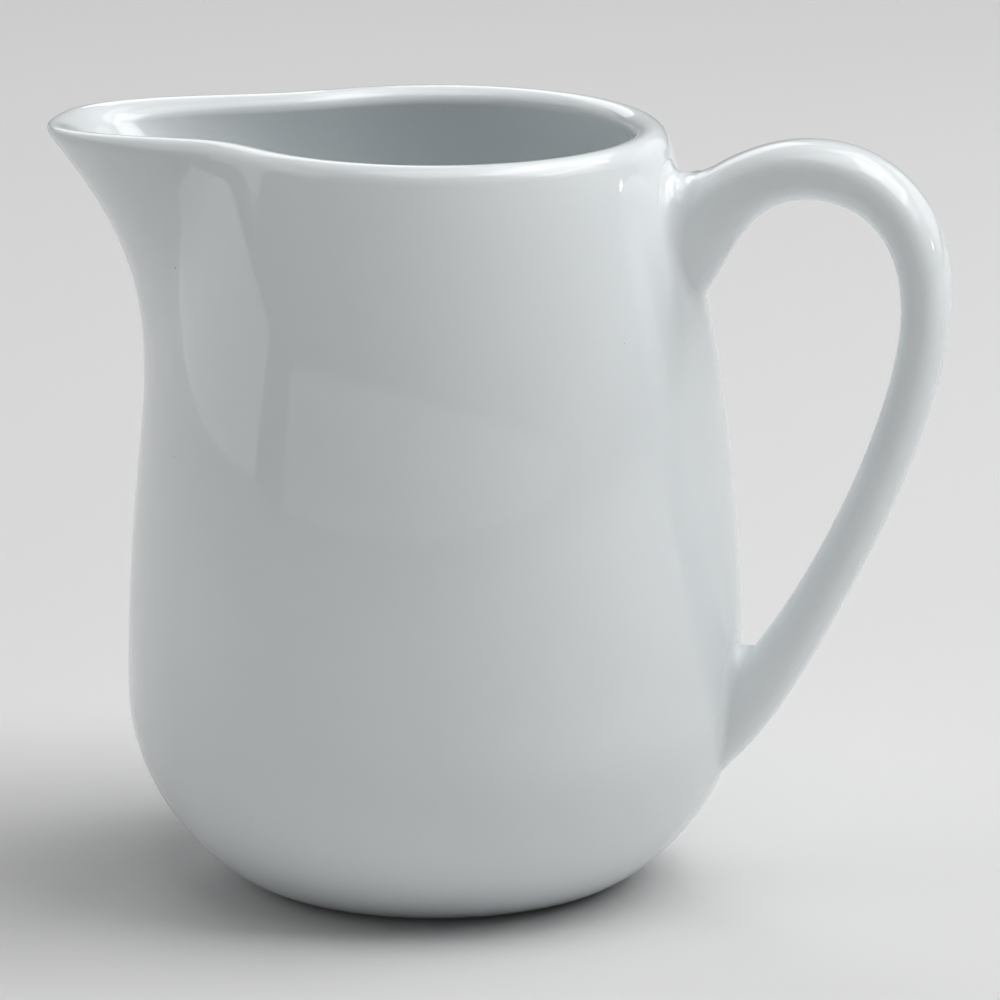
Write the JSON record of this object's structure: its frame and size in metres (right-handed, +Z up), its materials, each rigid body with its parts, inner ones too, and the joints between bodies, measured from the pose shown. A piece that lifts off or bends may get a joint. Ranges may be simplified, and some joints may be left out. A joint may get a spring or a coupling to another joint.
{
  "type": "ceramic pitcher",
  "caption": "Small white glazed pitcher with a round belly, a rolled lip pulled into a pouring spout, and a looped side handle.",
  "frame": {"origin": "on the table, below the middle of the pitcher's overall length", "axes": "+X from the spout towards the handle, +Z up, so the spout points along -X"},
  "size_m": [0.119, 0.0806, 0.1003],
  "materials": {
    "white_glaze": "clear gloss glaze over white porcelain",
    "handle_glaze": "clear gloss glaze over white porcelain",
    "joint_glaze": "clear gloss glaze over luting slip"
  },
  "bodies": {
    "root": {"body": "white_glaze", "handle": "handle_glaze", "upper_joint": "joint_glaze", "lower_joint": "joint_glaze"}
  },
  "joints": []
}
